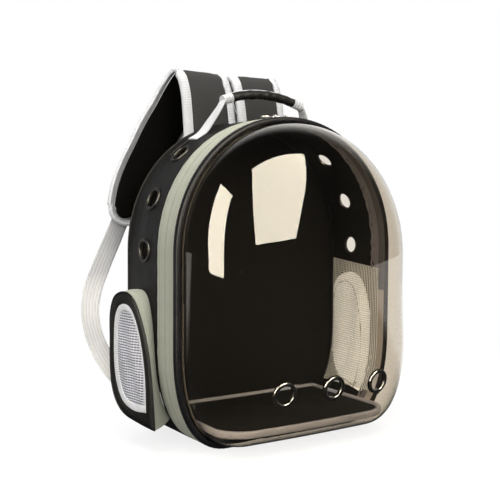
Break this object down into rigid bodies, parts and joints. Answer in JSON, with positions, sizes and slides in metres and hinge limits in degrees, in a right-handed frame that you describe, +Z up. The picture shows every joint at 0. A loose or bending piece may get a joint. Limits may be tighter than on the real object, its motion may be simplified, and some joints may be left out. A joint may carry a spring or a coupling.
{
  "type": "bubble pet carrier backpack",
  "caption": "Arch-shaped cloth backpack for carrying a small pet, with a clear bulging front bubble, vent eyelets, mesh side pockets, top handle and padded shoulder straps.",
  "frame": {"origin": "centre of the flat underside of the side wall, on the surface that the carrier stands on", "axes": "+Z up through the top handle; -Y towards the clear bubble; +X to the right as seen from the front"},
  "size_m": [0.4285, 0.2973, 0.494],
  "materials": {
    "black_cloth": "smooth coated black cloth",
    "pad_cloth": "black padded cloth",
    "sage_tape": "matt woven zip tape",
    "dark_binding": "dark grey rounded binding",
    "clear_sheet": "glossy clear tinted sheet",
    "dark_metal": "dark polished metal",
    "bright_metal": "polished metal",
    "white_binding": "white reflective binding",
    "grey_webbing": "silver grey ribbed webbing",
    "light_net": "light ribbed mesh",
    "cream_edge": "cream edge of the mat"
  },
  "bodies": {
    "root": {"side_wall": "black_cloth", "back_panel": "pad_cloth", "zip_tape_rear": "sage_tape", "zip_coil": "sage_tape", "zip_tape_front": "sage_tape", "rim_binding": "dark_binding", "bubble": "clear_sheet", "floor_mat_base": "pad_cloth", "floor_mat_top": "pad_cloth", "floor_mat_edge": "cream_edge", "handle_grip": "black_cloth", "bubble_eyelet_left": "dark_metal", "bubble_eyelet_middle": "dark_metal", "bubble_eyelet_right": "dark_metal", "side_eyelet_left_top": "dark_metal", "side_eyelet_left_middle": "dark_metal", "side_eyelet_left_low": "dark_metal", "inner_mesh_left": "light_net", "pocket_zip_left": "sage_tape", "pocket_face_left": "black_cloth", "pocket_binding_left": "white_binding", "pocket_mesh_left": "light_net", "strap_pad_left": "pad_cloth", "strap_edge_left": "white_binding", "strap_webbing_left": "grey_webbing", "handle_leg_left": "white_binding", "handle_wrap_left": "white_binding", "zip_slider_left": "bright_metal", "zip_pull_left": "bright_metal", "side_eyelet_right_top": "dark_metal", "side_eyelet_right_middle": "dark_metal", "side_eyelet_right_low": "dark_metal", "inner_mesh_right": "light_net", "pocket_zip_right": "sage_tape", "pocket_face_right": "black_cloth", "pocket_binding_right": "white_binding", "pocket_mesh_right": "light_net", "strap_pad_right": "pad_cloth", "strap_edge_right": "white_binding", "strap_webbing_right": "grey_webbing", "handle_leg_right": "white_binding", "handle_wrap_right": "white_binding", "zip_slider_right": "bright_metal", "zip_pull_right": "bright_metal"}
  },
  "joints": []
}
